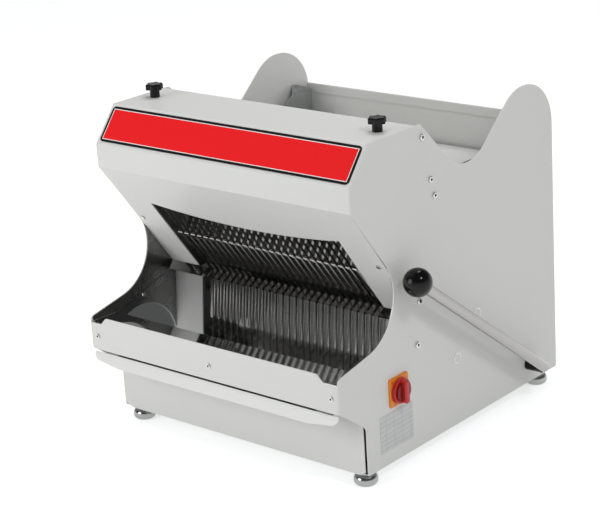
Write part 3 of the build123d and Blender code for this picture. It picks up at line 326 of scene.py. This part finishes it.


# %% [markdown]
# The pan-head screws are driven through a hexagon socket. A shallow hexagon painted
# dark on each head is painted shade standing in for the socket's recess, and reads as
# the socket from any distance; sinking a real hole would show no more.

# %% Screw sockets
SCREWS = ((269.6, 617.7), (290.6, 533.4), (300.7, 500.9), (242.3, 314.4), (230.7, 232.9))
# painted shade: a dark colour in place of the shadow inside each hexagon socket
socket_painted_shade, tree, shader = new_material("socket_shadow", "#2B2B2C", 0.6, 0.5)
shape = bmesh.new()
for side in (-1, 1):
    for depth, height in SCREWS:
        turned = Matrix.Translation(at(side * 314.05, depth, height)) @ Matrix.Rotation(math.pi / 2, 4, "Y")
        bmesh.ops.create_cone(
            shape, cap_ends=True, segments=6, radius1=0.003, radius2=0.003, depth=0.0002, matrix=turned
        )
for across in (-293.0, 0.0, 293.0):
    turned = Matrix.Translation(at(across, -2.75, 204.8)) @ Matrix.Rotation(math.pi / 2, 4, "X")
    bmesh.ops.create_cone(
        shape, cap_ends=True, segments=6, radius1=0.0024, radius2=0.0024, depth=0.0002, matrix=turned
    )
finish_piece("screw_sockets", shape, socket_painted_shade, "housing", smooth=False)
print("screw sockets:", 13)

# %% [markdown]
# The switch knob is moulded as a raised rim with a handle across it. The sunk face
# between the two lies in its own shade, so it is drawn as a darker disc on the knob.

# %% Sunk face of the switch knob
knob_shade, tree, shader = new_material("shaded_red_moulding", "#7A0F14", 0.0, 0.4)
shape = bmesh.new()
turned = Matrix.Translation(at(325.15, 168.5, 166.0)) @ Matrix.Rotation(math.pi / 2, 4, "Y")
bmesh.ops.create_cone(
    shape, cap_ends=True, segments=64, radius1=0.0198, radius2=0.0198, depth=0.0003, matrix=turned
)
finish_piece("knob_sunk_face", shape, knob_shade, "switch_rotor", smooth=False)
print("sunk face ready")

# %% [markdown]
# Each blanking plug low on the right panel sits in a thin pressed rim. The rim is a
# flat ring, made from two circles that are bridged and then thickened.

# %% Plug rims
PLUGS = ((353.0, 164.0), (422.0, 232.0))
shape = bmesh.new()
for depth, height in PLUGS:
    turned = Matrix.Translation(at(310.0, depth, height)) @ Matrix.Rotation(math.pi / 2, 4, "Y")
    edges = []
    for radius in (0.0092, 0.0106):
        ring = bmesh.ops.create_circle(shape, cap_ends=False, segments=48, radius=radius, matrix=turned)
        edges += list({edge for vertex in ring["verts"] for edge in vertex.link_edges})
    flat = bmesh.ops.bridge_loops(shape, edges=edges)
    raised = bmesh.ops.extrude_face_region(shape, geom=flat["faces"])
    lifted = [part for part in raised["geom"] if isinstance(part, bmesh.types.BMVert)]
    bmesh.ops.translate(shape, verts=lifted, vec=(0.0009, 0, 0))
finish_piece("plug_rims", shape, screw_steel, "housing", smooth=False)
print("plug rims:", len(PLUGS))

# %% [markdown]
# The floor is a wide pale sheet, and the light is a soft studio: a pale world and
# three large lamps. The camera sees the world as white, and so do metal and glass,
# while the light that falls on the machine stays at a plain level.

# %% Floor
shape = bmesh.new()
bmesh.ops.create_grid(shape, x_segments=1, y_segments=1, size=20.0)
mesh = bpy.data.meshes.new("floor")
shape.to_mesh(mesh)
shape.free()
floor = bpy.data.objects.new("floor", mesh)
scene.collection.objects.link(floor)
floor_paint, tree, shader = new_material("pale_floor", "#F4F4F4", 0.0, 0.9)
shader.inputs["Specular IOR Level"].default_value = 0.0
path = put(tree, "ShaderNodeLightPath")
glow = put(tree, "ShaderNodeEmission", values={"Color": (1, 1, 1, 1), "Strength": 0.56})
both = put(tree, "ShaderNodeAddShader", links={0: shader.outputs["BSDF"], 1: glow.outputs["Emission"]})
looked = put(
    tree, "ShaderNodeMath", settings={"operation": "MAXIMUM"},
    links={0: path.outputs["Is Camera Ray"], 1: path.outputs["Is Glossy Ray"]},
)
shown = put(
    tree, "ShaderNodeMath", settings={"operation": "MAXIMUM"},
    links={0: looked.outputs["Value"], 1: path.outputs["Is Transmission Ray"]},
)
seen = put(
    tree, "ShaderNodeMixShader",
    links={0: shown.outputs["Value"], 1: shader.outputs["BSDF"], 2: both.outputs["Shader"]},
)
tree.links.new(seen.outputs["Shader"], tree.nodes["Material Output"].inputs["Surface"])
mesh.materials.append(floor_paint)
print("floor ready")

# %% World
world = bpy.data.worlds.new("studio")
scene.world = world
world.use_nodes = True
tree = world.node_tree
tree.nodes.clear()
path = put(tree, "ShaderNodeLightPath")
seen = put(
    tree, "ShaderNodeMath", settings={"operation": "MAXIMUM"},
    links={0: path.outputs["Is Camera Ray"], 1: path.outputs["Is Glossy Ray"]},
)
either = put(
    tree, "ShaderNodeMath", settings={"operation": "MAXIMUM"},
    links={0: seen.outputs["Value"], 1: path.outputs["Is Transmission Ray"]},
)
soft = put(tree, "ShaderNodeBackground", values={"Color": linear("#F2F4F6"), "Strength": 0.5})
where = put(tree, "ShaderNodeTexCoord").outputs["Generated"]
rise = put(tree, "ShaderNodeSeparateXYZ", links={"Vector": where})
fade = put(
    tree, "ShaderNodeMapRange",
    values={"From Min": 0.02, "From Max": 0.38, "To Min": 1.0, "To Max": 0.12},
    links={"Value": rise.outputs["Z"]},
)
level = put(
    tree, "ShaderNodeMath", settings={"operation": "MAXIMUM"},
    links={0: path.outputs["Is Camera Ray"], 1: fade.outputs["Result"]},
)
white = put(
    tree, "ShaderNodeBackground", values={"Color": (1, 1, 1, 1)}, links={"Strength": level.outputs["Value"]}
)
mixed = put(
    tree, "ShaderNodeMixShader",
    links={0: either.outputs["Value"], 1: soft.outputs["Background"], 2: white.outputs["Background"]},
)
put(tree, "ShaderNodeOutputWorld", links={"Surface": mixed.outputs["Shader"]})
print("world ready")


# %% Lamps
def lamp(name, place, aim, size, power):
    data = bpy.data.lights.new(name, "AREA")
    data.shape = "SQUARE"
    data.size = size
    data.energy = power
    made = bpy.data.objects.new(name, data)
    scene.collection.objects.link(made)
    made.location = place
    made.rotation_euler = (Vector(aim) - Vector(place)).to_track_quat("-Z", "Y").to_euler()
    return made


lamp("key_lamp", (-1.0, -2.6, 1.25), (0, 0, 0.3), 1.4, 23.0)
lamp("side_lamp", (2.2, -0.5, 2.5), (0, 0, 0.3), 0.45, 14.0)
lamp("top_lamp", (-0.2, 0.75, 2.6), (-0.1, 0, 0.4), 0.9, 15.0)
print("lamps ready")

# %% [markdown]
# The camera stands where the photograph was taken from. Its place and turn were
# solved from the corners of the two side panels: 41 degrees round to the right, 19
# degrees down, and a small roll.

# %% Camera
YAW = math.radians(41.1736)
PITCH = math.radians(18.8594)
ROLL = math.radians(-3.6489)
back = Vector((math.sin(YAW) * math.cos(PITCH), -math.cos(YAW) * math.cos(PITCH), math.sin(PITCH)))
right = (-back).cross(Vector((0, 0, 1))).normalized()
up = right.cross(-back)
rolled_right = math.cos(ROLL) * right + math.sin(ROLL) * up
rolled_up = -math.sin(ROLL) * right + math.cos(ROLL) * up
camera_data = bpy.data.cameras.new("camera")
camera_data.sensor_width = 36.0
camera_data.lens = 1909.74 * 36.0 / 600.0
camera_data.clip_end = 50.0
camera = bpy.data.objects.new("camera", camera_data)
scene.collection.objects.link(camera)
turn = Matrix((rolled_right, rolled_up, back)).transposed().to_4x4()
camera.matrix_world = Matrix.Translation(at(2302.0, -2356.7, 1525.1)) @ turn
scene.camera = camera
print("lens", round(camera_data.lens, 2), "mm")
